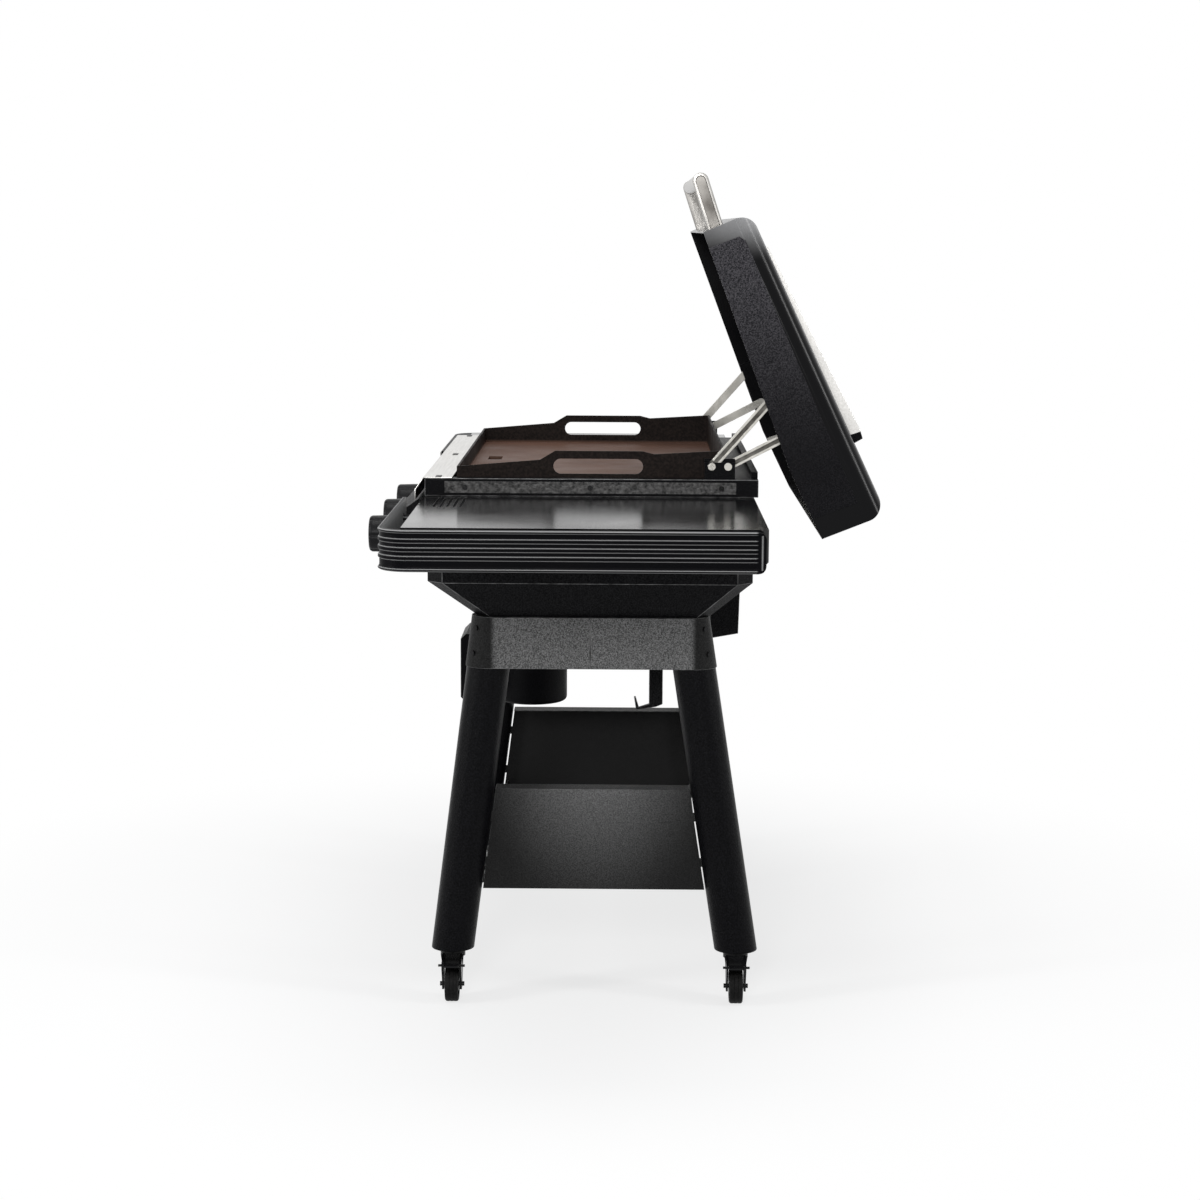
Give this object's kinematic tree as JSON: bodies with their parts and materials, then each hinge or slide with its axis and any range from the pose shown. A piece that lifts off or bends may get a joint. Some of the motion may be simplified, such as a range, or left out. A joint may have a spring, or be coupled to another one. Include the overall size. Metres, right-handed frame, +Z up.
{
  "type": "outdoor gas griddle station",
  "caption": "Freestanding gas griddle on leaning legs with casters, hinged lid on link arms, side shelves with ribbed rails and a pull-out grease keg.",
  "frame": {"origin": "on the floor, midway between the two end frames and midway between their front and rear edges", "axes": "+X towards the object's right-hand end as the cook faces it from the front, +Y towards the rear, +Z up; the knobs face -Y"},
  "size_m": [1.8632, 0.8914, 1.455],
  "materials": {
    "textured_black": "matte textured powder coat",
    "textured_black_lid": "matte textured powder coat",
    "satin_black_rail": "satin powder coat",
    "gloss_black_enamel": "gloss enamel",
    "stainless": "brushed",
    "seasoned_steel": "seasoned, low sheen",
    "aluminised_steel": "dull",
    "brass": "satin",
    "ceramic": "matte",
    "black_plastic": "satin moulded",
    "caster_steel": "satin black",
    "tyre": "matte",
    "rubber": "matte",
    "screw_steel": "satin black"
  },
  "bodies": {
    "stand": {"burner_igniters": "ceramic", "burners": "aluminised_steel", "caster_stems": "caster_steel", "control_panel": "textured_black", "cross_beams": "textured_black", "end_beam_left": "textured_black", "end_beam_right": "textured_black", "end_plate_left": "textured_black", "end_plate_right": "textured_black", "firebox_shell": "textured_black", "frame_screws": "screw_steel", "front_ledge": "stainless", "gas_manifold": "brass", "grease_chute": "aluminised_steel", "heat_hopper": "textured_black", "hinge_brackets": "textured_black", "keg_rails": "textured_black", "knob_bezels": "black_plastic", "leg_foot_caps": "black_plastic", "leg_front_left": "textured_black", "leg_front_right": "textured_black", "leg_rear_left": "textured_black", "leg_rear_right": "textured_black", "lid_bumpers": "rubber", "lower_shelf": "textured_black", "rear_bracket": "textured_black", "rear_vent_strip": "textured_black", "shelf_arms": "textured_black", "side_shelf_left": "gloss_black_enamel", "side_shelf_right": "gloss_black_enamel", "side_trim_strips": "textured_black", "tank_hook": "textured_black", "tool_rail_left": "satin_black_rail", "tool_rail_right": "satin_black_rail", "top_frame": "textured_black"},
    "griddle": {"griddle_plate": "seasoned_steel"},
    "keg": {"grease_keg": "textured_black", "keg_front_plate": "textured_black"},
    "knob_turn_right": {"knob_right": "black_plastic"},
    "knob_turn_centre": {"knob_centre": "black_plastic"},
    "knob_turn_left": {"knob_left": "black_plastic"},
    "front_arms": {"front_link_arms": "stainless"},
    "rear_arms": {"rear_link_arms": "stainless"},
    "lid": {"lid_shell": "gloss_black_enamel", "lid_side_panels": "textured_black_lid", "lid_top_panel": "stainless", "lid_handle": "stainless", "lid_lugs": "textured_black"},
    "fork_front_right": {"caster_fork_front_right": "caster_steel"},
    "wheel_front_right": {"caster_wheel_front_right": "tyre"},
    "brake_front_right": {"caster_brake_front_right": "black_plastic"},
    "fork_front_left": {"caster_fork_front_left": "caster_steel"},
    "wheel_front_left": {"caster_wheel_front_left": "tyre"},
    "brake_front_left": {"caster_brake_front_left": "black_plastic"},
    "fork_rear_right": {"caster_fork_rear_right": "caster_steel"},
    "wheel_rear_right": {"caster_wheel_rear_right": "tyre"},
    "brake_rear_right": {"caster_brake_rear_right": "black_plastic"},
    "fork_rear_left": {"caster_fork_rear_left": "caster_steel"},
    "wheel_rear_left": {"caster_wheel_rear_left": "tyre"},
    "brake_rear_left": {"caster_brake_rear_left": "black_plastic"}
  },
  "joints": [
    {"name": "griddle_lift", "type": "slide", "parent": "stand", "child": "griddle", "axis": [0, 0, 1], "range_m": [0, 0.15]},
    {"name": "keg_pull", "type": "slide", "parent": "stand", "child": "keg", "axis": [0, -1, 0], "range_m": [0, 0.26]},
    {"name": "knob_right_turn", "type": "hinge", "parent": "stand", "child": "knob_turn_right", "pos_m": [0.279, -0.382, 0.817], "axis": [0, -1, 0], "range_deg": [0, 150]},
    {"name": "knob_centre_turn", "type": "hinge", "parent": "stand", "child": "knob_turn_centre", "pos_m": [0, -0.382, 0.817], "axis": [0, -1, 0], "range_deg": [0, 150]},
    {"name": "knob_left_turn", "type": "hinge", "parent": "stand", "child": "knob_turn_left", "pos_m": [-0.279, -0.382, 0.817], "axis": [0, -1, 0], "range_deg": [0, 150]},
    {"name": "lid_lift", "type": "hinge", "parent": "stand", "child": "front_arms", "pos_m": [0, 0.201, 0.955], "axis": [-1, 0, 0], "range_deg": [-132.74, 0]},
    {"name": "lid_swing", "type": "hinge", "parent": "front_arms", "child": "lid", "pos_m": [0, 0.3037, 1.07203], "axis": [1, 0, 0], "range_deg": [-63.48, 0]},
    {"name": "rear_arm_swing", "type": "hinge", "parent": "stand", "child": "rear_arms", "pos_m": [0, 0.229, 0.955], "axis": [1, 0, 0], "range_deg": [0, 153.4]},
    {"name": "caster_swivel_front_right", "type": "hinge", "parent": "stand", "child": "fork_front_right", "pos_m": [0.388, -0.247, 0.078], "axis": [0, 0, 1], "continuous": true},
    {"name": "wheel_spin_front_right", "type": "hinge", "parent": "fork_front_right", "child": "wheel_front_right", "pos_m": [0.412, -0.247, 0.031], "axis": [0, 1, 0], "continuous": true},
    {"name": "brake_press_front_right", "type": "hinge", "parent": "fork_front_right", "child": "brake_front_right", "pos_m": [0.43, -0.247, 0.069], "axis": [0, 1, 0], "range_deg": [0, 18]},
    {"name": "caster_swivel_front_left", "type": "hinge", "parent": "stand", "child": "fork_front_left", "pos_m": [-0.388, -0.247, 0.078], "axis": [0, 0, 1], "continuous": true},
    {"name": "wheel_spin_front_left", "type": "hinge", "parent": "fork_front_left", "child": "wheel_front_left", "pos_m": [-0.412, -0.247, 0.031], "axis": [0, 1, 0], "continuous": true},
    {"name": "brake_press_front_left", "type": "hinge", "parent": "fork_front_left", "child": "brake_front_left", "pos_m": [-0.43, -0.247, 0.069], "axis": [0, -1, 0], "range_deg": [0, 18]},
    {"name": "caster_swivel_rear_right", "type": "hinge", "parent": "stand", "child": "fork_rear_right", "pos_m": [0.388, 0.255, 0.078], "axis": [0, 0, 1], "continuous": true},
    {"name": "wheel_spin_rear_right", "type": "hinge", "parent": "fork_rear_right", "child": "wheel_rear_right", "pos_m": [0.412, 0.255, 0.031], "axis": [0, 1, 0], "continuous": true},
    {"name": "brake_press_rear_right", "type": "hinge", "parent": "fork_rear_right", "child": "brake_rear_right", "pos_m": [0.43, 0.255, 0.069], "axis": [0, 1, 0], "range_deg": [0, 18]},
    {"name": "caster_swivel_rear_left", "type": "hinge", "parent": "stand", "child": "fork_rear_left", "pos_m": [-0.388, 0.255, 0.078], "axis": [0, 0, 1], "continuous": true},
    {"name": "wheel_spin_rear_left", "type": "hinge", "parent": "fork_rear_left", "child": "wheel_rear_left", "pos_m": [-0.412, 0.255, 0.031], "axis": [0, 1, 0], "continuous": true},
    {"name": "brake_press_rear_left", "type": "hinge", "parent": "fork_rear_left", "child": "brake_rear_left", "pos_m": [-0.43, 0.255, 0.069], "axis": [0, -1, 0], "range_deg": [0, 18]}
  ],
  "couplings": [
    {"joint": "lid_swing", "follows": "lid_lift", "ratio": 0.47823},
    {"joint": "rear_arm_swing", "follows": "lid_lift", "ratio": -1.1556}
  ]
}
